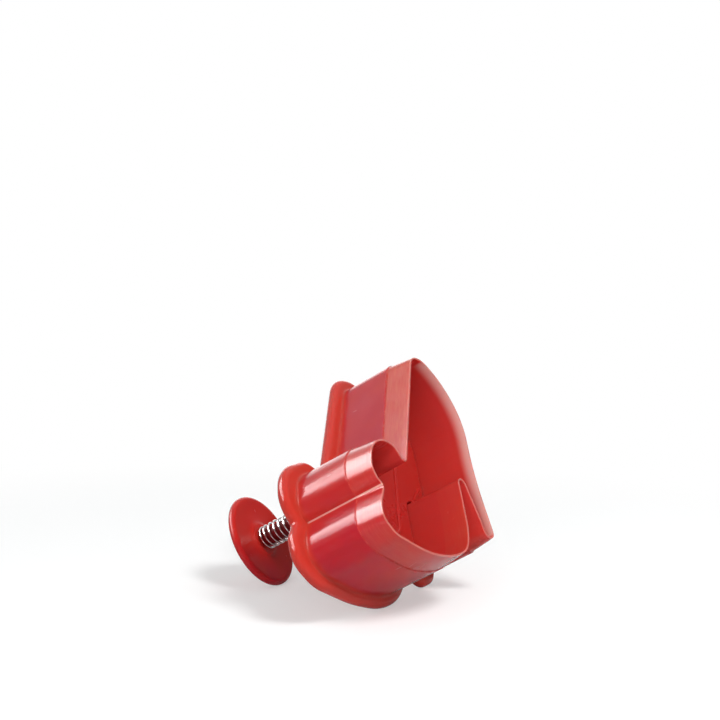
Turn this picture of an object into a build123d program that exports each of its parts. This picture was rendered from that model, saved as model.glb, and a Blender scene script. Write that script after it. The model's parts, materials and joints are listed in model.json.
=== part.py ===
"""Plunger cutter for dough and sugar paste: a shoe-shaped cutting wall with a sprung embossing plate.

Each piece is drawn upright about the plunger's axis: X runs from the toe to the heel, Y up the shoe and
Z from the knob towards the cutting edge, with zero at the back face of the flange. At the end every piece is
laid down the way the cutter rests on a table: on the flange under the sole and heel, and on the knob's rim.
"""
import os
from math import acos, atan2, cos, degrees, hypot, pi, sin, sqrt, tan

from build123d import *

# Cut outline, all in millimetres
cut_length = 60.0
cut_height = 44.5

# Cutter shell
flange_thickness = 2.6
flange_flat = 0.1
wall_height = 18.7
wall_reach = 1.1
lip_height = 6.0
lip_reach = 0.9
lip_tip_reach = 0.35
bevel_height = 1.2
edge_reach = 0.15
edge_inset = 0.2
cavity_draft_inset = 0.35
rear_wall = 1.8
rear_recess = 0.5

# Guide boss behind the rear wall
boss_wall = 1.7
boss_height = 2.6
boss_round = 0.5
spring_pocket_depth = 1.2
guide_clearance = 0.1

# Embossing plate
plate_clearance = 0.3
plate_thickness = 2.4
plate_edge_round = 0.35
stop_gap = 0.05
rib_count = 3
rib_thickness = 1.2
rib_lead_angle = 22.0
rib_height_share = 0.5
socket_length = 2.95
socket_wall = 1.5
socket_clearance = 0.05

# Raised lines on the plate
ridge_radius = 0.55
ridge_sink = 0.08
ornament_radius = 4.3

# Plunger stem
stem_diameter = 3.9
stem_shoulder = 0.45
stem_tip_length = 2.0
stem_chamfer = 0.3

# Knob
knob_diameter = 21.8
knob_rim_round = 1.5
knob_dish = 0.6
knob_seat_margin = 1.05
knob_crown = 0.5
knob_crown_width = 1.2

# Return spring
spring_wire = 0.5
spring_stem_clearance = 0.3
spring_end_turns = 1
spring_active_turns = 14
spring_end_gap = 0.45
spring_seat_gap = 0.1
spring_pocket_clearance = 0.35

# Plunger travel, and the space between guide boss and knob when the knob is fully pressed
travel = 12.0
pressed_gap = 8.4

# One overrun for every cut that passes right through
overrun = 1.0

# Corners of the cut outline before rounding, as shares: across and up from the plunger's axis in lengths and
# heights of the cut, then how far the corner's radius in lengths goes beyond the least radius that fits there
outline_corner_shares = (
    (-0.171, -0.024, 0.0027),  # crease between the bow and the instep
    (0.318, 0.495, 0.0570),  # front of the collar
    (0.399, 0.479, 0.0820),  # back of the collar
    (0.479, 0.322, 0.2600),  # upper heel cup
    (0.491, 0.146, 0.2040),  # fullest point of the heel cup
    (0.461, 0.033, 0.2440),  # lower heel cup
    (0.348, -0.184, 0.9697),  # hollow down the back of the heel
    (0.259, -0.510, 0.0130),  # back of the heel tip
    (0.187, -0.510, 0.0100),  # front of the heel tip
    (0.209, -0.416, 0.0617),  # waist above the heel tip
    (0.239, -0.182, 0.0067),  # arch top, heel side
    (0.193, -0.180, 0.0077),  # arch top, sole side
    (0.071, -0.422, 0.2770),  # front of the arch
    (-0.013, -0.510, 0.1280),  # ball of the sole
    (-0.161, -0.510, 0.5500),  # middle of the sole
    (-0.321, -0.446, 0.5200),  # rise towards the toe
    (-0.488, -0.306, 0.0790),  # under the toe
    (-0.519, -0.217, 0.0290),  # tip of the toe
    (-0.493, -0.155, 0.0790),  # top of the toe
    (-0.406, -0.077, 0.0027),  # crease between the toe and the bow
    (-0.428, -0.038, 0.0130),  # lower left of the bow
    (-0.428, 0.024, 0.0390),  # left of the bow
    (-0.351, 0.128, 0.1280),  # top left of the bow
    (-0.241, 0.128, 0.1040),  # top right of the bow
    (-0.189, 0.080, 0.0230),  # right of the bow
)

# Corners of the flange's rim in the same shares; it runs outside the cut and bridges its three creases
rim_corner_shares = (
    (-0.157, 0.118, 0.020),  # crease between the bow and the instep
    (0.310, 0.595, 0.119),  # front of the collar
    (0.437, 0.568, 0.129),  # back of the collar
    (0.538, 0.370, 0.312),  # upper heel cup
    (0.555, 0.145, 0.272),  # fullest point of the heel cup
    (0.520, -0.001, 0.296),  # lower heel cup
    (0.410, -0.217, 0.812),  # hollow down the back of the heel
    (0.322, -0.580, 0.064),  # back of the heel tip
    (0.167, -0.580, 0.049),  # front of the heel tip
    (0.143, -0.414, 0.022),  # crease under the arch
    (0.063, -0.519, 0.129),  # front of the arch
    (-0.042, -0.580, 0.272),  # ball of the sole
    (-0.183, -0.580, 0.402),  # middle of the sole
    (-0.353, -0.497, 0.646),  # rise towards the toe
    (-0.537, -0.355, 0.129),  # under the toe
    (-0.598, -0.208, 0.072),  # tip of the toe
    (-0.550, -0.095, 0.046),  # top of the toe
    (-0.488, -0.044, 0.018),  # crease between the toe and the bow
    (-0.503, 0.070, 0.096),  # left of the bow
    (-0.405, 0.220, 0.146),  # top left of the bow
    (-0.220, 0.222, 0.087),  # top right of the bow
)

# Most of a side that the roundings at its two ends may take
side_fill_share = 0.98

# Raised lines, as shares of the cut's length across and its height up, and of its length for the rounding
ornament_place_shares = (-0.274, -0.115)
bow_line_shares = (
    (-0.156, -0.113, 0.0),
    (-0.066, -0.138, 0.065),
    (-0.044, -0.284, 0.040),
    (-0.272, -0.404, 0.080),
    (-0.352, -0.310, 0.065),
    (-0.349, -0.230, 0.0),
)
vamp_line_shares = (
    (0.377, 0.367, 0.0),
    (0.333, 0.189, 0.300),
    (0.016, -0.280, 0.080),
    (-0.060, -0.302, 0.0),
)
heel_line_shares = (
    (0.257, -0.163, 0.0),
    (0.296, -0.138, 0.200),
    (0.331, -0.126, 0.0),
)

# Heights along the plunger's axis, in front of the knob
wall_top = flange_thickness + wall_height - lip_height
edge_top = flange_thickness + wall_height
bevel_bottom = edge_top - bevel_height
rear_wall_back = rear_recess
rear_wall_front = rear_wall_back + rear_wall
boss_back = rear_wall_back - boss_height
spring_seat = boss_back + spring_pocket_depth
plate_back = rear_wall_front + stop_gap
plate_rear = plate_back + socket_length
plate_face = plate_rear + plate_thickness
rib_height = socket_length * rib_height_share

# Fits round the stem
stem_tip_diameter = stem_diameter - 2 * stem_shoulder
tip_hole_diameter = stem_tip_diameter + 2 * socket_clearance
socket_diameter = stem_diameter + 2 * socket_clearance
socket_outer_diameter = socket_diameter + 2 * socket_wall
guide_diameter = stem_diameter + 2 * guide_clearance
spring_diameter = stem_diameter + 2 * spring_stem_clearance + 2 * spring_wire
spring_end_pitch = spring_wire + spring_end_gap
pocket_diameter = spring_diameter + 2 * spring_pocket_clearance
boss_diameter = pocket_diameter + 2 * boss_wall
knob_seat_diameter = spring_diameter + 2 * knob_seat_margin

# Heights at the knob
knob_underside = boss_back - travel - pressed_gap
knob_rim_middle = knob_underside - knob_rim_round
knob_face = knob_rim_middle - knob_rim_round - knob_crown
knob_seat = knob_underside - knob_dish
spring_front = spring_seat - spring_seat_gap
spring_back = knob_seat + spring_seat_gap

# Roundings that neighbouring faces must leave room for
flange_round = (flange_thickness - flange_flat) / 2
plate_inset = edge_inset + cavity_draft_inset + plate_clearance


def corner_points(shares):
    """Corner places in millimetres from a table of shares."""
    return [(across * cut_length, up * cut_height) for across, up, _ in shares]


def corner_growths(shares):
    """Radii in millimetres beyond the least one, from a table of shares."""
    return [growth * cut_length for _, _, growth in shares]


def rounded_outline(shares, hollow_radius, full_radius, reach=0):
    """Closed face inside a clockwise run of straight sides and rounded corners, grown outwards by a reach.
    Hollow and full corners start from their least radii, and the rest of each radius is fitted to the two
    sides that meet there."""
    points = [Vector(place) for place in corner_points(shares)]
    growths = corner_growths(shares)
    count = len(points)
    sides = [points[(corner + 1) % count] - points[corner] for corner in range(count)]
    turns = [
        atan2(sides[corner - 1].cross(sides[corner]).Z, sides[corner - 1].dot(sides[corner]))
        for corner in range(count)
    ]
    least_radii = [hollow_radius if turn > 0 else full_radius for turn in turns]
    tangent_factors = [tan(abs(turn) / 2) for turn in turns]
    fits = []
    for corner, side in enumerate(sides):
        ends = (corner, (corner + 1) % count)
        least = sum(least_radii[end] * tangent_factors[end] for end in ends)
        wanted = sum(growths[end] * tangent_factors[end] for end in ends)
        fits.append(min(1, (side.length * side_fill_share - least) / wanted))
    radii = [
        least_radii[corner] + growths[corner] * min(fits[corner - 1], fits[corner])
        for corner in range(count)
    ]
    outward = [side.normalized().cross(Vector(0, 0, -1)) for side in sides]
    moved_points = []
    moved_radii = []
    for corner, turn in enumerate(turns):
        both_ways = outward[corner - 1] + outward[corner]
        moved_points.append(points[corner] + both_ways * (reach / (1 + cos(turn))))
        moved_radii.append(radii[corner] - reach if turn > 0 else radii[corner] + reach)
    with BuildSketch() as outline:
        with BuildLine():
            FilletPolyline(*moved_points, radius=moved_radii, close=True)
        make_face()
    return outline.sketch


def cut_outline(reach):
    """Face inside the cut outline, grown outwards from the middle line of the cutting edge."""
    return rounded_outline(outline_corner_shares, wall_reach, plate_inset + plate_edge_round, reach)


# Cutter shell: flange, wall, stepped lip and thin bevelled edge, hollow from the front, with a guide boss behind
with BuildPart() as cutter_shell:
    add(rounded_outline(rim_corner_shares, 0, flange_round))
    extrude(amount=flange_thickness)
    fillet(cutter_shell.faces().sort_by(Axis.Z)[-1].edges(), radius=flange_round)
    fillet(cutter_shell.faces().sort_by(Axis.Z)[0].edges(), radius=flange_round)
    with BuildSketch(Plane.XY):
        add(cut_outline(0))
    extrude(amount=rear_recess, mode=Mode.SUBTRACT)
    with BuildSketch(Plane.XY.offset(boss_back)):
        Circle(boss_diameter / 2)
    extrude(amount=boss_height)
    boss_rim = cutter_shell.edges().group_by(Axis.Z)[0]
    fillet(boss_rim, radius=boss_round)
    with BuildSketch(Plane.XY.offset(flange_thickness)):
        add(cut_outline(wall_reach))
    extrude(amount=wall_top - flange_thickness)
    lip_sections = ((wall_top, lip_reach), (bevel_bottom, lip_tip_reach))
    bevel_sections = ((bevel_bottom, lip_tip_reach), (edge_top, edge_reach))
    cavity_sections = ((edge_top, -edge_inset), (rear_wall_front, -edge_inset - cavity_draft_inset))
    for sections, joining in (
        (lip_sections, Mode.ADD),
        (bevel_sections, Mode.ADD),
        (cavity_sections, Mode.SUBTRACT),
    ):
        for height, reach in sections:
            with BuildSketch(Plane.XY.offset(height)):
                add(cut_outline(reach))
        loft(ruled=True, mode=joining)
    with Locations(Plane(origin=(0, 0, boss_back), z_dir=(0, 0, -1))):
        CounterBoreHole(
            radius=guide_diameter / 2,
            counter_bore_radius=pocket_diameter / 2,
            counter_bore_depth=spring_pocket_depth,
            depth=boss_height + rear_wall + overrun,
        )
cutter_shell.part.label = "cutter_shell"


def rounded_line(shares):
    """Open path through a table of shares, its inner corners rounded."""
    inner_radii = corner_growths(shares)[1:-1]
    with BuildLine(Plane.XY.offset(plate_face - ridge_sink)) as path:
        FilletPolyline(*corner_points(shares), radius=inner_radii)
    return path


# Embossing plate: a flat plate that fills the cut, ribbed behind, with a socket for the stem and raised lines
with BuildPart() as embossing_plate:
    with BuildSketch(Plane.XY.offset(plate_rear)):
        add(cut_outline(-plate_inset))
    extrude(amount=plate_thickness)
    fillet(embossing_plate.faces().sort_by(Axis.Z)[-1].edges(), radius=plate_edge_round)
    with BuildSketch(Plane.XY.offset(plate_back)):
        Circle(socket_outer_diameter / 2)
    extrude(amount=socket_length)
    with BuildSketch(Plane.XY.offset(plate_rear - rib_height)):
        for rib in range(rib_count):
            Rectangle(cut_length, rib_thickness, rotation=rib_lead_angle + rib * 180 / rib_count)
        with BuildSketch(Plane.XY.offset(plate_rear - rib_height), mode=Mode.INTERSECT):
            add(cut_outline(-plate_inset))
    extrude(amount=rib_height)
    with BuildSketch(Plane.XY.offset(plate_back)):
        Circle(socket_diameter / 2)
    extrude(amount=socket_length, mode=Mode.SUBTRACT)
    for shares in (bow_line_shares, vamp_line_shares, heel_line_shares):
        raised_line = rounded_line(shares)
        line_start = raised_line.line @ 0
        line_end = raised_line.line @ 1
        with BuildSketch(Plane(origin=line_start, z_dir=raised_line.line % 0)):
            Circle(ridge_radius)
        sweep(path=raised_line.line)
        with Locations(line_start, line_end):
            Sphere(ridge_radius)
    ornament_across, ornament_up = ornament_place_shares
    with Locations((ornament_across * cut_length, ornament_up * cut_height, plate_face - ridge_sink)):
        Torus(ornament_radius, ridge_radius)
embossing_plate.part.label = "embossing_plate"

# Plunger stem: a plain rod from the plate's socket back to the knob, with a thinner tip and a shoulder
with BuildPart() as plunger_stem:
    with BuildSketch(Plane.XY.offset(knob_seat)):
        Circle(stem_diameter / 2)
    extrude(amount=plate_rear - knob_seat)
    chamfer(plunger_stem.edges().sort_by(Axis.Z)[-1], length=stem_chamfer)
    with BuildSketch(Plane.XY.offset(knob_seat)):
        Circle(stem_tip_diameter / 2)
    extrude(amount=-stem_tip_length)
    chamfer(plunger_stem.edges().sort_by(Axis.Z)[0], length=stem_chamfer)
plunger_stem.part.label = "plunger_stem"

# Knob: a round button with a full rim, a dished underside and a flat face for the palm
rim_ring_radius = knob_diameter / 2 - knob_rim_round
face_radius = rim_ring_radius - knob_crown_width
crown_radius = (knob_crown_width**2 + knob_crown**2 + 2 * knob_rim_round * knob_crown) / (2 * knob_crown)
crown_lean = atan2(knob_crown_width, crown_radius - knob_rim_round - knob_crown)
crown_end_across = face_radius + crown_radius * sin(crown_lean)
crown_end_height = knob_face + crown_radius * (1 - cos(crown_lean))
with BuildPart() as knob:
    with BuildSketch(Plane.XZ):
        with BuildLine():
            Line((0, knob_face), (face_radius, knob_face))
            TangentArc((face_radius, knob_face), (crown_end_across, crown_end_height), tangent=(1, 0))
            TangentArc(
                (crown_end_across, crown_end_height),
                (knob_diameter / 2, knob_rim_middle),
                tangent=(cos(crown_lean), sin(crown_lean)),
            )
            TangentArc((knob_diameter / 2, knob_rim_middle), (rim_ring_radius, knob_underside), tangent=(0, 1))
            TangentArc((rim_ring_radius, knob_underside), (knob_seat_diameter / 2, knob_seat), tangent=(-1, 0))
            Line((knob_seat_diameter / 2, knob_seat), (0, knob_seat))
            Line((0, knob_seat), (0, knob_face))
        make_face()
    revolve(axis=Axis.Z)
    with BuildSketch(Plane.XY.offset(knob_seat)):
        Circle(tip_hole_diameter / 2)
    extrude(amount=-stem_tip_length - socket_clearance, mode=Mode.SUBTRACT)
knob.part.label = "knob"


def spring_nodes():
    """Places and headings at every half turn of the spring's middle line, from the knob to the guide boss."""
    coil_radius = (spring_diameter - spring_wire) / 2
    middle_length = spring_front - spring_back - spring_wire
    active_rise = middle_length - 2 * spring_end_turns * spring_end_pitch
    end_rises = [spring_end_pitch / 2] * (2 * spring_end_turns)
    active_rises = [active_rise / (2 * spring_active_turns)] * (2 * spring_active_turns)
    rises = end_rises + active_rises + end_rises
    half_turn_length = pi * coil_radius
    nodes = []
    height = spring_back + spring_wire / 2
    for half_turn in range(len(rises) + 1):
        rise_before = rises[max(half_turn - 1, 0)]
        rise_after = rises[min(half_turn, len(rises) - 1)]
        side = 1 if half_turn % 2 == 0 else -1
        heading = Vector(0, side * half_turn_length, (rise_before + rise_after) / 2).normalized()
        nodes.append((Vector(side * coil_radius, 0, height), heading))
        height += rise_after
    return nodes


def biarc_middle(start, start_heading, end, end_heading):
    """Place and heading where two tangent arcs meet between two places with given headings."""
    across = end - start
    sum_heading = start_heading + end_heading
    spread = 2 * (1 - start_heading.dot(end_heading))
    lean = across.dot(sum_heading)
    reach = (sqrt(lean**2 + spread * across.dot(across)) - lean) / spread
    start_tip = start + start_heading * reach
    end_tip = end - end_heading * reach
    return (start_tip + end_tip) / 2, (end_tip - start_tip).normalized()


# Return spring: one unbroken wire, closer wound in its end turns, with short straight ends
coil_nodes = spring_nodes()
with BuildPart() as return_spring:
    first_place, first_heading = coil_nodes[0]
    last_place, last_heading = coil_nodes[-1]
    wire_start = first_place - first_heading * spring_wire
    wire_end = last_place + last_heading * spring_wire
    with BuildLine() as spring_line:
        Line(wire_start, first_place)
        for (place, heading), (next_place, next_heading) in zip(coil_nodes, coil_nodes[1:]):
            middle, middle_heading = biarc_middle(place, heading, next_place, next_heading)
            TangentArc(place, middle, tangent=heading)
            TangentArc(middle, next_place, tangent=middle_heading)
        Line(last_place, wire_end)
    with BuildSketch(Plane(origin=wire_start, z_dir=first_heading)):
        Circle(spring_wire / 2)
    sweep()
return_spring.part.label = "return_spring"

# Least gap between neighbouring turns, measured on points along the wire
steps_per_turn = 24
turn_count = 2 * spring_end_turns + spring_active_turns
step_count = steps_per_turn * turn_count
wire_points = [spring_line.wire() @ (step / step_count) for step in range(step_count + 1)]
least_gap = min(
    (wire_points[later] - wire_points[sooner]).length - spring_wire
    for sooner in range(step_count + 1)
    for later in range(sooner + steps_per_turn // 2, step_count + 1)
)
print(f"least gap between the spring's turns: {least_gap:.3f} mm")

# Lying pose: the rounded back edge of the flange, under sole and heel, and the knob's rim touch the table
rim_foot = -min(up for _, up, _ in rim_corner_shares) * cut_height - flange_round
knob_foot = knob_diameter / 2 - knob_rim_round
foot_span = hypot(rim_foot - knob_foot, flange_round - knob_rim_middle)
lean_angle = acos((knob_rim_round - flange_round) / foot_span) - atan2(
    flange_round - knob_rim_middle, rim_foot - knob_foot
)
lift = flange_round + rim_foot * cos(lean_angle) - flange_round * sin(lean_angle)
turned = Rotation(90 - degrees(lean_angle), 0, 0)
pieces = (cutter_shell, embossing_plate, plunger_stem, return_spring, knob)
standing_box = Compound([turned * piece.part for piece in pieces]).bounding_box()
lying = Pos(-standing_box.center().X, -standing_box.center().Y, lift) * turned
print(f"lean of the plunger's axis: {degrees(lean_angle):.3f} degrees above the table")
print(f"lowest point after laying down: {standing_box.min.Z + lift:.4f} mm")

# Files
os.makedirs("parts", exist_ok=True)
for piece in pieces:
    label = piece.part.label
    laid_piece = lying * piece.part
    laid_piece.label = label
    export_step(laid_piece, f"parts/{label}.step")
    print(f"{label}: {laid_piece.volume:.2f} cubic mm, valid {laid_piece.is_valid}")
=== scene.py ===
# %% [markdown]
# # A plunger cutter, dressed for its portrait
#
# The cutter is a small hand tool for sugar paste and dough. A shoe-shaped wall does the cutting, an
# embossing plate inside it presses lines into the paste, and a knob on a sprung stem pushes the plate
# forward so that the cut shape drops out.
#
# The solid model comes in first as a fixed frame. Nothing in that frame is moved or reshaped here. Each
# cell below adds one thing, a camera, a floor, a lamp, a finish or a better mesh, and prints what it made.

import json
import math

import bmesh
import bpy
from mathutils import Matrix, Vector


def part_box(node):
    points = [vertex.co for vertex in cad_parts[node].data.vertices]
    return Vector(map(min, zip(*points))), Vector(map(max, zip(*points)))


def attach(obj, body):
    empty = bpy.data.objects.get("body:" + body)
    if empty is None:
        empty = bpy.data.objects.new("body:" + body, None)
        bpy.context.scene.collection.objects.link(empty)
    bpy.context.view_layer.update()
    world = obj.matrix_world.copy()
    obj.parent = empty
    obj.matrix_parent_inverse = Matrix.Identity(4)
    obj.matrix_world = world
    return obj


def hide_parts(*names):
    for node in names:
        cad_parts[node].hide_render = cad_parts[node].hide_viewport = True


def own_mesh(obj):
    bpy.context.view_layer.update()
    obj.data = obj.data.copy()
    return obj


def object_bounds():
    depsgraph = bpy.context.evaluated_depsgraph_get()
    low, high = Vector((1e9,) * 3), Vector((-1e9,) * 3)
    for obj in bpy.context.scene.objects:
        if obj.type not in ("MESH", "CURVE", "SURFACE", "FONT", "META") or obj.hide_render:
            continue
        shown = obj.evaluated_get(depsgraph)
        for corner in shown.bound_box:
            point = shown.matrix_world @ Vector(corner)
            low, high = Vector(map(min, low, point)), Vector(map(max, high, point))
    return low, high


mm = 0.001
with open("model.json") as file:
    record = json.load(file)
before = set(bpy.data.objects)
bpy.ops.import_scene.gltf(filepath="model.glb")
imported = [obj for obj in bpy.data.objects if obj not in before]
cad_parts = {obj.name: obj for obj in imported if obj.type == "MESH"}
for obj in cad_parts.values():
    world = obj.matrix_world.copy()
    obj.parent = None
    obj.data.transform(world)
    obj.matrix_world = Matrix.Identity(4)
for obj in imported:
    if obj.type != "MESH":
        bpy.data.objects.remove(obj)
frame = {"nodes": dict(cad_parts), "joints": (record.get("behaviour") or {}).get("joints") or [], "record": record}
cad_box = [list(corner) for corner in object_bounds()]
for node_name in sorted(frame["nodes"]):
    low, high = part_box(node_name)
    print(node_name, [round(side / mm, 1) for side in high - low], "mm")

# %% [markdown]
# ## Where the plunger's axis runs
#
# Every turned or sprung piece of the cutter sits on one straight line, the plunger's axis. The joint in
# the frame already knows its direction, and the flat face of the knob is recorded with a point on it, so
# both are read from there and not typed again. Heights along the axis are counted from the knob's face, and
# the cutting edge is the far end of the shell.

# %% Read the plunger's axis from the joint and the knob's face
slide = [joint for joint in frame["joints"] if joint["name"] == "plunger_slide"][0]
axis = Vector(slide["axis"]).normalized()
travel = slide["range_m"][1]
knob_face_middle = Vector(frame["record"]["mounts"][0]["pos_m"])
toe_to_heel = Vector((1, 0, 0))
shoe_up = axis.cross(toe_to_heel).normalized()


def height_along_axis(place):
    """Distance in metres from the knob's face towards the cutting edge."""
    return (place - knob_face_middle).dot(axis)


def node_span(node_name):
    """Lowest and highest place of a node along the plunger's axis."""
    heights = [height_along_axis(vertex.co) for vertex in frame["nodes"][node_name].data.vertices]
    return min(heights), max(heights)


edge_height = node_span("cutter_shell")[1]
print("axis", [round(v, 4) for v in axis], "travel", travel, "knob face to edge", round(edge_height, 4))

# %% [markdown]
# ## Camera
#
# The photograph was taken with a long lens from beside the toe, a hand's breadth above the table. A long
# lens keeps the shapes nearly parallel, which is why the far heel looks almost as large as the near toe.
# The three directions of the camera are given along the cutter's own lines, toe to heel, up the shoe and
# along the plunger. They come from fitting the outlines of edge, flange and knob to the photograph. The
# camera looks past the cutter, so that the cutter sits low in the frame as it does there.

# %% Camera beside the toe
focal_pixels = 1576.6
image_pixels = 720
sensor_width = 36.0
camera_distance = 0.342
aim_pixel = (419.1, 448.2)
aim_upward = 1.5 * mm
aim_toeward = 0.1 * mm
camera_shares = (-0.9160, -0.0663, 0.3958)
upright_shares = (0.1233, 0.8922, 0.4346)
aim_point = knob_face_middle + axis * edge_height + shoe_up * aim_upward - toe_to_heel * aim_toeward


def along_the_cutter(heelward, shoeward, edgeward):
    """Direction given by its shares along the cutter's own three lines."""
    return (toe_to_heel * heelward + shoe_up * shoeward + axis * edgeward).normalized()


toward_camera = along_the_cutter(*camera_shares)
rightward = along_the_cutter(*upright_shares).cross(toward_camera).normalized()
upward = toward_camera.cross(rightward).normalized()
middle_pixel = image_pixels / 2
look = (
    -toward_camera
    + rightward * ((middle_pixel - aim_pixel[0]) / focal_pixels)
    + upward * ((aim_pixel[1] - middle_pixel) / focal_pixels)
).normalized()
camera_right = look.cross(upward).normalized()
camera_up = camera_right.cross(look).normalized()

camera_data = bpy.data.cameras.new("portrait_camera")
camera_data.sensor_width = sensor_width
camera_data.lens = focal_pixels * sensor_width / image_pixels
camera_data.dof.use_dof = False
camera_data.clip_start = 0.01
camera_data.clip_end = 20.0
camera = bpy.data.objects.new("portrait_camera", camera_data)
bpy.context.scene.collection.objects.link(camera)
camera_turn = Matrix((camera_right, camera_up, -look)).transposed().to_4x4()
camera.matrix_world = Matrix.Translation(aim_point + toward_camera * camera_distance) @ camera_turn
bpy.context.scene.camera = camera
print("camera at", [round(v, 3) for v in camera.matrix_world.translation], "lens", round(camera_data.lens, 1), "mm")

# %% [markdown]
# ## Shader maths in plain Python
#
# A finish is a small net of nodes. Drawing that net one node at a time hides what it says, so three little
# helpers let the cells below write a finish as ordinary arithmetic. `Channel` wraps one output socket, and
# adding or multiplying channels adds the Math nodes. `NodeNet` adds every other node by one method, and
# `Finish` is the net of one material. A mask is a channel from zero to one, and `band` and `zone` make one
# from a height or a noise: `band` goes from zero to one once, and `zone` goes back to zero as well. In the
# cells below, values whose name ends in `ends` say where a mask starts and where it is full, a `share` says
# how much of a colour a mask lays on, and a name that starts with `dulled_by` is an amount of roughness.

# %% Channel, NodeNet and Finish
class Channel:
    """One output of a net of nodes, with arithmetic."""

    def __init__(self, net, socket):
        self.net = net
        self.socket = socket

    def calculate(self, operation, first, second):
        return self.net.node("ShaderNodeMath", {"operation": operation}, {0: first, 1: second}, 0)

    def __add__(self, other):
        return self.calculate("ADD", self, other)

    def __radd__(self, other):
        return self.calculate("ADD", other, self)

    def __sub__(self, other):
        return self.calculate("SUBTRACT", self, other)

    def __rsub__(self, other):
        return self.calculate("SUBTRACT", other, self)

    def __mul__(self, other):
        return self.calculate("MULTIPLY", self, other)

    def __rmul__(self, other):
        return self.calculate("MULTIPLY", other, self)


class NodeNet:
    """A net of nodes that grows by one method, node, and is wired by another, feed."""

    def __init__(self, tree):
        self.tree = tree

    def feed(self, node, sockets):
        for place, value in sockets.items():
            if isinstance(value, Channel):
                self.tree.links.new(value.socket, node.inputs[place])
            else:
                node.inputs[place].default_value = value

    def node(self, kind, settings, sockets, output):
        added = self.tree.nodes.new(kind)
        for setting, value in settings.items():
            setattr(added, setting, value)
        self.feed(added, sockets)
        return Channel(self, added.outputs[output])


class Finish(NodeNet):
    """The net of one material, with the patterns that the finishes share."""

    def __init__(self, name):
        self.material = bpy.data.materials.new(name)
        self.material.use_nodes = True
        super().__init__(self.material.node_tree)
        self.surface = self.tree.nodes["Principled BSDF"]

    def noise(self, scale, detail, roughness=0.5):
        place = self.node("ShaderNodeTexCoord", {}, {}, "Object")
        sockets = {"Vector": place, "Scale": scale, "Detail": detail, "Roughness": roughness}
        return self.node("ShaderNodeTexNoise", {}, sockets, "Fac")

    def scratches(self, scale, stretch, turn):
        """Long thin streaks: noise that is squeezed across one direction."""
        place = self.node("ShaderNodeTexCoord", {}, {}, "Object")
        sockets = {"Vector": place, "Rotation": turn, "Scale": stretch}
        squeezed = self.node("ShaderNodeMapping", {}, sockets, "Vector")
        return self.node("ShaderNodeTexNoise", {}, {"Vector": squeezed, "Scale": scale, "Detail": 2.0}, "Fac")

    def dot(self, first, second):
        return self.node("ShaderNodeVectorMath", {"operation": "DOT_PRODUCT"}, {0: first, 1: second}, "Value")

    def band(self, value, low, high):
        """Zero below low, one above high, smooth between."""
        settings = {"interpolation_type": "SMOOTHSTEP"}
        sockets = {"Value": value, "From Min": low, "From Max": high}
        return self.node("ShaderNodeMapRange", settings, sockets, "Result")

    def zone(self, value, level, ends):
        """One between the middle two of four ends, in millimetres from a level, and zero outside the outer two."""
        start, full, still_full, end = (level + each * mm for each in ends)
        return self.band(value, start, full) * (1 - self.band(value, still_full, end))

    def mix_colours(self, share, first, second):
        return self.node("ShaderNodeMix", {"data_type": "RGBA"}, {0: share, 6: first, 7: second}, 2)


print("shader helpers ready")

# %% [markdown]
# ## White table that keeps the shadow
#
# The cutter was photographed on a white sweep that the camera records as pure white, apart from a soft
# shadow. Turning the lamps up until a white floor clips would also burn out the red plastic. Instead the
# floor is a plain white surface with a little light of its own, which only the camera and, more weakly,
# mirror-like reflections see. It brings the lit floor up to white, while the place under the cutter stays
# darker. Further out, where no shadow falls, the floor turns plain white for the camera, as a paper sweep
# does where it curves up behind the object.

# %% Floor
table_half_width = 3.0
table_paint = (0.62, 0.63, 0.63, 1)
table_roughness = 0.9
table_lift = 0.39
near_reach = 0.085
far_reach = 0.20
mirror_share = 0.25
white = (1, 1, 1, 1)

floor_mesh = bpy.data.meshes.new("white_table")
floor_build = bmesh.new()
bmesh.ops.create_grid(floor_build, x_segments=1, y_segments=1, size=table_half_width)
floor_build.to_mesh(floor_mesh)
floor_build.free()
floor = bpy.data.objects.new("white_table", floor_mesh)
bpy.context.scene.collection.objects.link(floor)

table_white = Finish("table_white")
paint_sockets = {"Base Color": table_paint, "Roughness": table_roughness, "Specular IOR Level": 0.0}
table_white.feed(table_white.surface, paint_sockets)
camera_ray = table_white.node("ShaderNodeLightPath", {}, {}, "Is Camera Ray")
mirror_ray = table_white.node("ShaderNodeLightPath", {}, {}, "Is Glossy Ray")
glass_ray = table_white.node("ShaderNodeLightPath", {}, {}, "Is Transmission Ray")
direct_look = camera_ray + (mirror_ray + glass_ray) * mirror_share
place = table_white.node("ShaderNodeTexCoord", {}, {}, "Object")
reach = table_white.node("ShaderNodeVectorMath", {"operation": "LENGTH"}, {0: place}, "Value")
sweep = table_white.band(reach, near_reach, far_reach)
glow_sockets = {"Color": white, "Strength": direct_look * table_lift}
glow = table_white.node("ShaderNodeEmission", {}, glow_sockets, 0)
plain = Channel(table_white, table_white.surface.outputs[0])
lifted = table_white.node("ShaderNodeAddShader", {}, {0: plain, 1: glow}, 0)
pure_white = table_white.node("ShaderNodeEmission", {}, {"Color": white, "Strength": 1.0}, 0)
table_sockets = {0: sweep * direct_look, 1: lifted, 2: pure_white}
table = table_white.node("ShaderNodeMixShader", {}, table_sockets, 0)
table_white.feed(table_white.tree.nodes["Material Output"], {"Surface": table})
floor_mesh.materials.append(table_white.material)
print("floor", floor_mesh.materials[0].name, "lift", table_lift)

# %% [markdown]
# ## White surroundings
#
# Glossy plastic and bright wire look like whatever stands round them. The camera sees white on all sides.
# Mirror rays see white behind the cutter and above it, where the sweep is, and a dim room on the camera's
# side. That is what keeps the near walls deep red and gives the wire its dark and bright stripes. The light
# that the surroundings shed on the cutter is set apart, at a lower level, so that the red keeps its depth.

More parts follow.
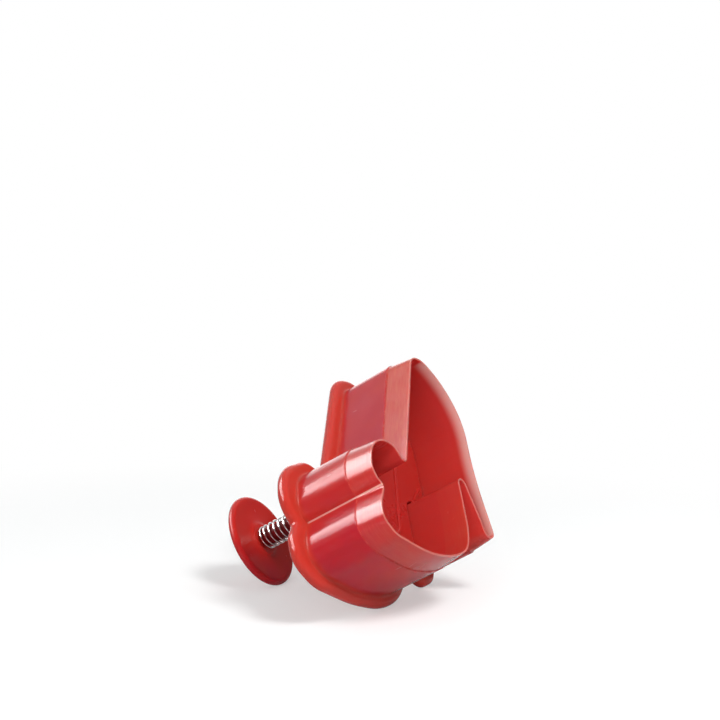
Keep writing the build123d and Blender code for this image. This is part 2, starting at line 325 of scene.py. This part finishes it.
# %% World
surround_level = 0.45
white_side = 1.0
dim_side = 0.12
white_direction = (0.20, 0.74, 0.64)
fully_white_from = 0.65

studio = bpy.data.worlds.new("studio")
studio.use_nodes = True
bpy.context.scene.world = studio
surroundings = NodeNet(studio.node_tree)
seen_directly = surroundings.node("ShaderNodeLightPath", {}, {}, "Is Camera Ray")
seen_in_mirror = surroundings.node("ShaderNodeLightPath", {}, {}, "Is Glossy Ray")
seen_through = surroundings.node("ShaderNodeLightPath", {}, {}, "Is Transmission Ray")
heading = surroundings.node("ShaderNodeTexCoord", {}, {}, "Generated")
heading_sockets = {0: heading, 1: white_direction}
whiteward = surroundings.node("ShaderNodeVectorMath", {"operation": "DOT_PRODUCT"}, heading_sockets, "Value")
tent = surroundings.node(
    "ShaderNodeMapRange",
    {"interpolation_type": "SMOOTHSTEP"},
    {"Value": whiteward, "From Min": 0.0, "From Max": fully_white_from, "To Min": dim_side, "To Max": white_side},
    "Result",
)
strength = (
    surround_level
    + (1 - surround_level) * seen_directly
    + (tent - surround_level) * (seen_in_mirror + seen_through)
)
surroundings.feed(studio.node_tree.nodes["Background"], {"Color": white, "Strength": strength})
print("surroundings shed", surround_level, "and mirror", dim_side, "to", white_side)

# %% [markdown]
# ## Soft lamps
#
# The shadow in the photograph falls to the left, and the inside of the cutter is as bright as the outside,
# so the main lamp stands high on the camera's right and shines into the hollow. A low wide lamp beside the
# camera fills the near walls. The broad pale streaks on bow and toe are the mirror image of a window-like
# sheet behind the cutter. That sheet only needs to be seen in reflections, so it sheds no light of its own,
# and a weak second one draws a thin light line along the far outlines. The two lamps at the camera's side
# are the other way round: they shed light and aren't mirrored, which keeps spots off the plastic.

# %% Lamps
scene_middle = (Vector(cad_box[0]) + Vector(cad_box[1])) / 2


def soft_lamp(name, azimuth, elevation, distance, width, height, watts, sheds=True, mirrored=True):
    """A rectangular lamp aimed at the cutter; azimuth counts from -Y towards +X, in degrees, sizes in metres."""
    around = math.radians(azimuth)
    rise = math.radians(elevation)
    back = Vector((math.sin(around) * math.cos(rise), -math.cos(around) * math.cos(rise), math.sin(rise)))
    lamp_data = bpy.data.lights.new(name, "AREA")
    lamp_data.shape = "RECTANGLE"
    lamp_data.size = width
    lamp_data.size_y = height
    lamp_data.energy = watts
    lamp = bpy.data.objects.new(name, lamp_data)
    lamp_turn = back.to_track_quat("Z", "Y").to_matrix().to_4x4()
    lamp.matrix_world = Matrix.Translation(scene_middle + back * distance) @ lamp_turn
    lamp.visible_camera = False
    lamp.visible_diffuse = sheds
    lamp.visible_glossy = mirrored
    bpy.context.scene.collection.objects.link(lamp)
    print(name, "radiance", round(watts / (math.pi * width * height), 2))


soft_lamp("table_key", -28, 52, distance=0.8, width=0.24, height=0.24, watts=4.3, mirrored=False)
soft_lamp("camera_side_fill", -78, 14, distance=0.8, width=0.5, height=0.5, watts=2.9, mirrored=False)
soft_lamp("window_behind", -150, 44, distance=0.7, width=0.8, height=0.4, watts=17.0, sheds=False)
soft_lamp("back_sheet", 118, 12, distance=0.8, width=0.8, height=0.4, watts=1.3, sheds=False)

# %% [markdown]
# ## Glossy moulded plastic
#
# The cutter is moulded in a bright red plastic with a polished mould, so it is smooth but never perfect.
# Under a lamp these things show: a faint ripple like the skin of an orange, slow drifts between crimson and
# a warmer red where the melt flowed, and fine scuffs from the drawer. Thin plastic also lets some light
# through, which the subsurface values give. Edges are a little rounded on the real tool. Modelling that
# would mean new faces along every edge, so the Bevel node rounds the shading there instead, and by
# comparing its normal with the plain one it also tells where an edge is, to let it wear pale.
#
# The recipe is a class, because each piece adds something of its own before it is complete.

# %% A recipe for moulded plastic
drift_noise = {"scale": 38.0, "detail": 3.0, "roughness": 0.55}
cloud_noise = {"scale": 210.0, "detail": 4.0, "roughness": 0.6}
wear_noise = {"scale": 420.0, "detail": 3.0, "roughness": 0.6}
ripple_noise = {"scale": 520.0, "detail": 2.0}
grain_noise = {"scale": 2400.0, "detail": 2.0}
hairlines_one_way = {"scale": 520.0, "stretch": (1.0, 0.045, 0.35), "turn": (0.3, 0.5, 0.9)}
hairlines_other_way = {"scale": 460.0, "stretch": (0.05, 1.0, 0.4), "turn": (0.8, 0.2, 0.4)}
drift_ends = (0.35, 0.68)
cloud_ends = (0.42, 0.75)
hairline_ends = (0.66, 0.74)
cross_hairline_ends = (0.67, 0.75)
bend_ends = (0.02, 0.22)
wear_ends = (0.38, 0.62)
dulled_by_drift = 0.05
dulled_by_cloud = 0.07
dulled_by_scuffs = 0.10
dulled_by_wear = 0.10
ripple_height = 0.8
grain_height = 0.3
scuff_depth = 0.12
shading_samples = 6
skin_strength = 0.35
skin_depth = 0.06 * mm
shine = 0.20
light_let_in = 0.35
light_reach = 2.5 * mm
light_tint = (1.0, 0.15, 0.10)


class RedPlastic(Finish):
    """Moulded plastic that a piece may still paint, roughen or round before it is complete."""

    def __init__(self, name, deep_red, warm_red, gloss, edge_round):
        super().__init__(name)
        drift = self.band(self.noise(**drift_noise), *drift_ends)
        cloud = self.band(self.noise(**cloud_noise), *cloud_ends)
        hairlines = self.band(self.scratches(**hairlines_one_way), *hairline_ends)
        cross_hairlines = self.band(self.scratches(**hairlines_other_way), *cross_hairline_ends)
        scuffs = (hairlines + cross_hairlines) * cloud
        self.colour = self.mix_colours(drift, deep_red, warm_red)
        self.roughness = gloss + dulled_by_drift * drift + dulled_by_cloud * cloud + dulled_by_scuffs * scuffs
        skin_noise = ripple_height * self.noise(**ripple_noise) + grain_height * self.noise(**grain_noise)
        self.ripple = skin_noise - scuff_depth * scuffs
        self.edge_round = edge_round

    def paint(self, share, colour):
        """Lay a colour over the present one where the share, a mask from zero to one, says so."""
        self.colour = self.mix_colours(share, self.colour, colour)

    def round_edges(self, worn_colour, wear, where=1.0):
        """Round the shading at edges, and let the edges wear pale in patches."""
        search = {"samples": shading_samples}
        self.rounded = self.node("ShaderNodeBevel", search, {"Radius": self.edge_round}, "Normal")
        plain = self.node("ShaderNodeNewGeometry", {}, {}, "Normal")
        edge = self.band(1 - self.dot(self.rounded, plain), *bend_ends)
        worn_edge = edge * self.band(self.noise(**wear_noise), *wear_ends) * where
        self.paint(worn_edge * wear, worn_colour)
        self.roughness = self.roughness + dulled_by_wear * worn_edge

    def complete(self):
        """Join everything to the shader and hand over the material."""
        bump_sockets = {
            "Strength": skin_strength,
            "Distance": skin_depth,
            "Height": self.ripple,
            "Normal": self.rounded,
        }
        skin = self.node("ShaderNodeBump", {}, bump_sockets, "Normal")
        self.feed(self.surface, {"Base Color": self.colour, "Roughness": self.roughness, "Normal": skin})
        self.feed(self.surface, {"Specular IOR Level": shine, "Subsurface Weight": light_let_in})
        self.feed(self.surface, {"Subsurface Radius": light_tint, "Subsurface Scale": light_reach})
        print(self.material.name, "has", len(self.tree.nodes), "nodes")
        return self.material


def dress(node_name, material):
    """Put a material in every slot of a CAD node."""
    node = frame["nodes"][node_name]
    for place in range(len(node.data.materials)):
        node.data.materials[place] = material
    if not node.data.materials:
        node.data.materials.append(material)
    print(node_name, "wears", material.name)


# %% [markdown]
# ## Shell: foot and ledge
#
# The shell is one moulding with four zones along the plunger's axis: the rounded flange, the wall, a ledge,
# and the thin lip that ends in the cutting edge. At its foot the real wall flows into the flange with a wide
# soft corner, where the solid model has a sharp one, and the ledge is softer than the other edges. So the
# rounding is not the same everywhere: it grows in a band round the foot and, less, in one round the ledge.
# The soft foot is no edge to rub against, so it is left out of the wear.

# %% Round the shell's foot and ledge
wall_height = 18.7 * mm
lip_height = 6.0 * mm
plain_round = 0.15 * mm
foot_round = 0.9 * mm
ledge_round = 0.35 * mm
foot_ends = (-0.8, -0.3, 0.9, 1.5)
ledge_ends = (-0.9, -0.4, 0.4, 0.9)
shell_gloss = 0.16
shell_wear = 0.35
crimson = (0.425, 0.009, 0.024, 1)
warm_crimson = (0.470, 0.018, 0.014, 1)
worn_red = (0.66, 0.15, 0.12, 1)

tip_level = knob_face_middle.dot(axis) + edge_height
foot_level = tip_level - wall_height
ledge_level = tip_level - lip_height
shell = RedPlastic("shell_plastic", crimson, warm_crimson, shell_gloss, plain_round)
shell_place = shell.node("ShaderNodeTexCoord", {}, {}, "Object")
along = shell.dot(shell_place, tuple(axis))
foot_zone = shell.zone(along, foot_level, foot_ends)
ledge_zone = shell.zone(along, ledge_level, ledge_ends)
shell.edge_round = plain_round + foot_round * foot_zone + ledge_round * ledge_zone
shell.round_edges(worn_red, shell_wear, 1 - foot_zone)
for level_name, level in (("foot", foot_level), ("ledge", ledge_level), ("tip", tip_level)):
    print(level_name, "at", round(level / mm, 2), "mm along the axis")

# %% [markdown]
# ## Shell: painted bounce light in the hollow, and the flange
#
# Inside the cutter, light bounces between red walls and also comes through them, so the photograph shows the
# hollow in a lighter and more orange red than the crimson outside. That bounce light is painted into the
# hollow's colour as a lighter orange red. An Ambient Occlusion node tells how open a place is, and its inverse
# is a mask for the hollow. The flange is the thickest plastic, glossy from being handled, and orange-red too.

# %% Paint bounce light into the hollow, and the flange
hollow_reach = 30 * mm
hollow_ends = (0.50, 0.86)
painted_bounce_share = 0.85
painted_bounce_red = (0.560, 0.042, 0.034, 1)
flange_share = 0.75
flange_red = (0.500, 0.042, 0.024, 1)
flange_polish = 0.08

search = {"samples": shading_samples, "only_local": True}
openness = shell.node("ShaderNodeAmbientOcclusion", search, {"Distance": hollow_reach}, "AO")
hollow = 1 - shell.band(openness, *hollow_ends)
# painted bounce light: the hollow is laid in a lighter, more orange red
shell.paint(hollow * painted_bounce_share, painted_bounce_red)
warm_foot = 1 - shell.band(along, foot_level + 0.1 * mm, foot_level + 1.7 * mm)
shell.paint(warm_foot * flange_share, flange_red)
flange = 1 - shell.band(along, foot_level - 0.2 * mm, foot_level + 0.6 * mm)
shell.roughness = shell.roughness - flange_polish * flange
print("hollow and flange painted")

# %% [markdown]
# ## Shell: lip and cutting edge
#
# The lip meets paste and board, so it is rubbed most. Outside it looks paler than the wall and catches
# broader light, and fine lines run along it, parallel to the cutting edge. The lines are noise on coordinates
# that are squeezed along the plunger's axis. A thin coat gives the lip of bow and toe its second, softer
# highlight. Over the instep the photograph shows none, only a scuffed tan. The last third of a millimetre,
# where the edge cuts, gets a painted highlight: a pale pink glint laid into the colour.

# %% Draw the lip's fine lines
lines_across = 2600.0
lines_lengthwise = 260.0
line_ends = (0.30, 0.75)
lip_grain_noise = {"scale": 3600.0, "detail": 3.0}
lip_grain_height = 0.4
line_height = 0.12
dulled_by_lip = 0.02
lip_share = 0.10
lip_share_in_lines = 0.12
lip_red = (0.58, 0.105, 0.055, 1)
facing_up_ends = (0.35, 0.65)
instep_share = 0.24
instep_share_in_lines = 0.16
instep_tan = (0.52, 0.115, 0.050, 1)
painted_edge_glint_share = 0.35
painted_edge_glint_pink = (0.80, 0.36, 0.30, 1)
coat_on_toe = 0.30
coat_lost_on_instep = 0.28
coat_roughness = 0.24

lip = shell.band(along, ledge_level - 0.1 * mm, ledge_level + 0.1 * mm)
toe_to_heel_place = shell.dot(shell_place, tuple(toe_to_heel))
line_axes = {
    "X": toe_to_heel_place * lines_lengthwise,
    "Y": shell.dot(shell_place, tuple(shoe_up)) * lines_lengthwise,
    "Z": along * lines_across,
}
squeezed_place = shell.node("ShaderNodeCombineXYZ", {}, line_axes, "Vector")
line_sockets = {"Vector": squeezed_place, "Scale": 1.0, "Detail": 2.0}
fine_lines = shell.band(shell.node("ShaderNodeTexNoise", {}, line_sockets, "Fac"), *line_ends)
outer_lip = lip * (1 - hollow)
heelward = toe_to_heel_place - knob_face_middle.dot(toe_to_heel)
plain_normal = shell.node("ShaderNodeNewGeometry", {}, {}, "Normal")
facing_up = shell.band(shell.dot(plain_normal, tuple(shoe_up)), *facing_up_ends)
over_instep = shell.band(heelward, -12 * mm, -2 * mm) * facing_up
shell.paint(outer_lip * (lip_share + lip_share_in_lines * fine_lines), lip_red)
shell.paint(outer_lip * over_instep * (instep_share + instep_share_in_lines * fine_lines), instep_tan)
shell.roughness = shell.roughness + dulled_by_lip * lip
shell.ripple = shell.ripple + lip * (lip_grain_height * shell.noise(**lip_grain_noise) + line_height * fine_lines)
coat = outer_lip * (coat_on_toe - coat_lost_on_instep * over_instep)
shell.feed(shell.surface, {"Coat Weight": coat, "Coat Roughness": coat_roughness})
# painted highlight: a pale pink glint along the cutting edge
painted_edge_glint = shell.band(along, tip_level - 0.3 * mm, tip_level - 0.05 * mm)
shell.paint(painted_edge_glint * painted_edge_glint_share, painted_edge_glint_pink)
print("lip lines and cutting edge drawn")

# %% [markdown]
# ## Shell: painted glare on the edge of the back wall
#
# Inside, towards the edge of the back wall, the photograph fades from red to a milky pink, perhaps because the
# plastic is thinnest there and the white sweep shines through it. That fade is painted light: the white sweep's
# glare, painted into the colour as a milky pink. The mask has three parts: close to the tip, facing the toe,
# and lying on the line that the back wall follows, which leans towards the toe below the instep.

# %% Paint the glare on the back wall's edge
painted_glare_share = 0.85
painted_glare_pink = (0.74, 0.42, 0.38, 1)
back_line_place = 25.2 * mm
back_line_slope = 0.45
facing_toe_ends = (0.25, 0.80)

shoeward = shell.dot(shell_place, tuple(shoe_up)) - knob_face_middle.dot(shoe_up)
below_instep = shell.node("ShaderNodeMath", {"operation": "MINIMUM"}, {0: shoeward, 1: 0.0}, 0)
past_back_line = heelward - back_line_place - back_line_slope * below_instep
on_back_wall = shell.band(past_back_line, -2.0 * mm, -1.2 * mm)
facing_toe = shell.band(shell.dot(plain_normal, tuple(-toe_to_heel)), *facing_toe_ends)
near_tip = shell.band(along, tip_level - 3.0 * mm, tip_level - 0.2 * mm)
# painted light: a milky pink glare near the tip of the back wall
shell.paint(on_back_wall * facing_toe * near_tip * painted_glare_share, painted_glare_pink)
print("back wall faded towards its edge")

# %% [markdown]
# ## Shell: painted highlight in the crease beside the bow
#
# Bow and toe meet in a sharp inner corner, and a pale line of light runs along it from the flange to the cutting
# edge. That line is a painted highlight in the colour. It is a mask by distance from a straight line parallel to
# the axis: the length of the cross product with the axis is that distance. On the lip the wall draws in, so the
# line leans in with it.

# %% Paint the crease highlight
crease_toeward = 26.02 * mm
crease_downward = 3.13 * mm
crease_core = 0.16 * mm
crease_rim = 0.25 * mm
lean_at_ledge = 0.2 * mm
lean_at_tip = 0.95 * mm
painted_crease_highlight_share = 0.75
painted_crease_highlight_pink = (0.85, 0.46, 0.40, 1)


def vector_maths(operation, sockets, output="Vector"):
    """A Vector Math node in the shell's net."""
    return shell.node("ShaderNodeVectorMath", {"operation": operation}, sockets, output)


crease_place = knob_face_middle - toe_to_heel * crease_toeward - shoe_up * crease_downward
lean_sockets = {
    "Value": along,
    "From Min": ledge_level,
    "From Max": tip_level,
    "To Min": lean_at_ledge,
    "To Max": lean_at_tip,
}
drawn_in = shell.node("ShaderNodeMapRange", {}, lean_sockets, "Result") * lip
lean = vector_maths("SCALE", {0: tuple(toe_to_heel), "Scale": drawn_in})
stood_up = vector_maths("SUBTRACT", {0: shell_place, 1: lean})
from_crease = vector_maths("SUBTRACT", {0: stood_up, 1: tuple(crease_place)})
across = vector_maths("CROSS_PRODUCT", {0: from_crease, 1: tuple(axis)})
distance = vector_maths("LENGTH", {0: across}, "Value")
crease = (1 - shell.band(distance, crease_core, crease_rim)) * (1 - flange)
# painted highlight: a pale pink line of light along the crease
shell.paint(crease * painted_crease_highlight_share, painted_crease_highlight_pink)
dress("cutter_shell", shell.complete())

# %% [markdown]
# ## Plate and stem
#
# The plate's face is a little duller than the shell, because it presses on paste and is washed most. The
# stem stays in the shade between the coils, where the photograph shows only a deep brownish red. The stem is
# moulded in the same red as the rest, so its near-black red is painted shade from the coils.

# %% Dress the plate and the stem
plate_reds = {"deep_red": (0.420, 0.020, 0.018, 1), "warm_red": (0.440, 0.024, 0.018, 1)}
# painted shade: the stem's near-black red stands in for the shade between the coils
painted_shade_stem_reds = {"deep_red": (0.110, 0.003, 0.005, 1), "warm_red": (0.140, 0.004, 0.005, 1)}
plate = RedPlastic("plate_plastic", **plate_reds, gloss=0.26, edge_round=0.12 * mm)
plate.round_edges(worn_colour=(0.62, 0.13, 0.10, 1), wear=0.12)
dress("embossing_plate", plate.complete())
stem = RedPlastic("stem_painted_shade_plastic", **painted_shade_stem_reds, gloss=0.22, edge_round=0.20 * mm)
stem.round_edges(worn_colour=(0.30, 0.03, 0.03, 1), wear=0.35)
dress("plunger_stem", stem.complete())

# %% [markdown]
# ## Knob
#
# The knob is a round button, thin at its rim, with a flat face for the palm and a shallow dish on the side
# that looks at the cutter. A lathe shape could be spun from a drawn profile. Starting from a plain disc is
# easier to follow: its two rims are rounded with a bevel, and then each flat side is inset ring by ring,
# and every ring is pushed a little along the axis. The disc is a trace smaller than the solid knob, so that
# its rim doesn't dip into the table.

# %% Round the rims of a disc
half_rim = 0.9 * mm
rim_level = 1.836 * mm
table_clearance = 0.01 * mm
knob_sides = 144
rim_bevel_share = 0.98
rim_bevel_steps = 7

knob_low, knob_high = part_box("knob")
knob_radius = (knob_high.x - knob_low.x) / 2 - table_clearance
along_axis = Matrix((toe_to_heel, shoe_up, axis)).transposed().to_4x4()
knob_build = bmesh.new()
bmesh.ops.create_cone(
    knob_build,
    cap_ends=True,
    cap_tris=False,
    segments=knob_sides,
    radius1=knob_radius,
    radius2=knob_radius,
    depth=2 * half_rim,
    matrix=Matrix.Translation(knob_face_middle + axis * rim_level) @ along_axis,
)
rim_edges = [edge for edge in knob_build.edges if any(len(face.verts) > 4 for face in edge.link_faces)]
bmesh.ops.bevel(
    knob_build,
    geom=rim_edges,
    offset=half_rim * rim_bevel_share,
    offset_type="OFFSET",
    affect="EDGES",
    segments=rim_bevel_steps,
    profile=0.5,
    material=-1,
)
print("disc with rounded rims:", len(knob_build.faces), "faces")

# %% [markdown]
# ## Crown and dish of the knob
#
# The rings on the palm side make the low crown, and the rings on the other side make the dish and the small
# raised seat round the stem. Each ring is given by its width and by how far it is pushed outwards, both in
# millimetres, and a negative push goes inwards.

# %% Inset the disc's flat sides
palm_rings = ((0.6, 0.44), (0.6, 0.32), (0.6, 0.17))
dish_rings = ((0.8, -0.05), (1.2, -0.07), (1.4, -0.06), (1.4, 0.04), (1.1, 0.08), (0.4, 0.20))

flat_sides = [face for face in knob_build.faces if len(face.verts) > 4]
palm_side, dish_side = sorted(flat_sides, key=lambda face: face.normal.dot(axis))
for flat_side, rings in ((palm_side, palm_rings), (dish_side, dish_rings)):
    outward = flat_side.normal.copy()
    for width, push in rings:
        bmesh.ops.inset_region(
            knob_build,
            faces=[flat_side],
            thickness=width * mm,
            depth=0.0,
            use_even_offset=True,
        )
        bmesh.ops.translate(knob_build, verts=flat_side.verts[:], vec=outward * (push * mm))
bmesh.ops.recalc_face_normals(knob_build, faces=knob_build.faces[:])
for face in knob_build.faces:
    face.smooth = len(face.verts) == 4
knob_mesh = bpy.data.meshes.new("knob_button")
knob_build.to_mesh(knob_mesh)
knob_build.free()

knob_reds = {"deep_red": (0.400, 0.008, 0.024, 1), "warm_red": (0.445, 0.019, 0.014, 1)}
knob_finish = RedPlastic("plunger_plastic", **knob_reds, gloss=0.17, edge_round=0.25 * mm)
knob_finish.round_edges(worn_colour=(0.62, 0.12, 0.10, 1), wear=0.35)
knob_mesh.materials.append(knob_finish.complete())
knob_button = bpy.data.objects.new("knob_button", knob_mesh)
bpy.context.scene.collection.objects.link(knob_button)
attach(knob_button, "plunger")
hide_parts("knob")
lowest = min(vertex.co.z for vertex in knob_mesh.vertices)
print("knob", len(knob_mesh.polygons), "faces, lowest", round(lowest / mm, 3), "mm")

# %% [markdown]
# ## Return spring
#
# The spring is one steel wire wound round the stem, sixteen turns with a closer turn at each end. A curve
# with a bevel would do, but the spring also has to shorten when the knob is pressed, and that needs a mesh.
# So a small ring, the wire's section, is spun round the axis while it climbs, first through the close end
# turn, then through the open turns, then through the other close turn. Short straight ends finish the wire.

# %% Spin the wire
wire = 0.5 * mm
end_turns = 1
open_turns = 14
end_pitch = 0.95 * mm
wire_sides = 16
steps_per_turn = 48

spring_low, spring_high = node_span("return_spring")
spring_node = frame["nodes"]["return_spring"]
coil_reach = max(
    (vertex.co - knob_face_middle - axis * height_along_axis(vertex.co)).length
    for vertex in spring_node.data.vertices
)
coil_radius = coil_reach - wire / 2
coil_rise = spring_high - spring_low - wire
open_pitch = (coil_rise - 2 * end_turns * end_pitch) / open_turns
start_place = knob_face_middle + axis * (spring_low + wire / 2) + toe_to_heel * coil_radius
start_heading = (shoe_up * (2 * math.pi * coil_radius) + axis * end_pitch).normalized()
section_turn = Matrix((toe_to_heel, start_heading.cross(toe_to_heel), start_heading)).transposed().to_4x4()

spring_build = bmesh.new()
bmesh.ops.create_circle(
    spring_build,
    cap_ends=False,
    radius=wire / 2,
    segments=wire_sides,
    matrix=Matrix.Translation(start_place) @ section_turn,
)
first_ring = spring_build.verts[:] + spring_build.edges[:]
ring = first_ring
for turns, pitch in ((end_turns, end_pitch), (open_turns, open_pitch), (end_turns, end_pitch)):
    spun = bmesh.ops.spin(
        spring_build,
        geom=ring,
        cent=knob_face_middle,
        axis=axis,
        dvec=axis * (pitch / steps_per_turn),
        angle=2 * math.pi * turns,
        steps=turns * steps_per_turn,
        use_merge=False,
        use_normal_flip=False,
        use_duplicate=False,
    )
    ring = spun["geom_last"]
print("open pitch", round(open_pitch / mm, 3), "mm, wire", wire / mm, "mm, faces", len(spring_build.faces))

# %% [markdown]
# ## Ends of the wire
#
# A real spring wire is cut off square, and the last bit lies straight. The rings at both ends are pushed out
# by one wire's width along the wire, closed with a flat face, and the sharp rim of the cut is broken.

# %% Finish the wire's ends
broken_rim_share = 0.12

for end_ring, heading in ((first_ring, -start_heading), (ring, start_heading)):
    ring_edges = [piece for piece in end_ring if isinstance(piece, bmesh.types.BMEdge)]
    pushed = bmesh.ops.extrude_edge_only(spring_build, edges=ring_edges)["geom"]
    pushed_verts = [piece for piece in pushed if isinstance(piece, bmesh.types.BMVert)]
    pushed_edges = [
        piece
        for piece in pushed
        if isinstance(piece, bmesh.types.BMEdge) and all(vertex in pushed_verts for vertex in piece.verts)
    ]
    bmesh.ops.translate(spring_build, verts=pushed_verts, vec=heading * wire)
    bmesh.ops.contextual_create(spring_build, geom=pushed_edges)
    bmesh.ops.bevel(
        spring_build,
        geom=pushed_edges,
        offset=wire * broken_rim_share,
        offset_type="OFFSET",
        affect="EDGES",
        segments=2,
        profile=0.5,
        material=-1,
    )
bmesh.ops.recalc_face_normals(spring_build, faces=spring_build.faces[:])
for face in spring_build.faces:
    face.smooth = True

spring_mesh = bpy.data.meshes.new("coiled_wire")
spring_build.to_mesh(spring_mesh)
spring_build.free()
coiled_wire = bpy.data.objects.new("coiled_wire", spring_mesh)
bpy.context.scene.collection.objects.link(coiled_wire)
print("coiled wire", len(spring_mesh.polygons), "faces")

# %% [markdown]
# ## Bright spring steel
#
# Spring wire is drawn through a die, which polishes it and leaves a fine grain. In the photograph it mirrors
# the white sweep and the red pieces in hard light and dark stripes. A nearly mirror-like metal does the
# same, with a little cloudiness in its roughness.

# %% Dress and place the spring
tarnish_noise = {"scale": 900.0, "detail": 3.0, "roughness": 0.6}
tarnish_ends = (0.45, 0.75)
drawn_noise = {"scale": 5200.0, "detail": 2.0}
drawn_strength = 0.2
drawn_depth = 0.01 * mm
mirror_roughness = 0.05
dulled_by_tarnish = 0.12
dulled_by_drawing = 0.04
bright_steel = (0.72, 0.71, 0.71, 1)
dull_steel = (0.52, 0.51, 0.52, 1)

steel = Finish("spring_steel")
tarnish = steel.band(steel.noise(**tarnish_noise), *tarnish_ends)
drawn = steel.noise(**drawn_noise)
steel_colour = steel.mix_colours(tarnish, bright_steel, dull_steel)
bump_sockets = {"Strength": drawn_strength, "Distance": drawn_depth, "Height": drawn}
drawn_bump = steel.node("ShaderNodeBump", {}, bump_sockets, "Normal")
steel_sockets = {
    "Base Color": steel_colour,
    "Metallic": 1.0,
    "Roughness": mirror_roughness + dulled_by_tarnish * tarnish + dulled_by_drawing * drawn,
    "Normal": drawn_bump,
}
steel.feed(steel.surface, steel_sockets)
spring_mesh.materials.append(steel.material)

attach(coiled_wire, "cutter_body")
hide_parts("return_spring")
spring_length = spring_high - spring_low
spring_anchor = knob_face_middle + axis * spring_high
(spring_length - travel) / spring_length
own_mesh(coiled_wire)
print("spring", round(spring_length / mm, 2), "mm long, pressed", round((spring_length - travel) / mm, 2), "mm")

# %% [markdown]
# ## Plain colours and the size
#
# The photograph shows the sweep as plain white, so colours are shown as they are, without the soft highlights
# of a film look. The solid model's box is printed.

# %% Colour handling and size
bpy.context.scene.view_settings.view_transform = "Standard"
print("cad box", cad_box)
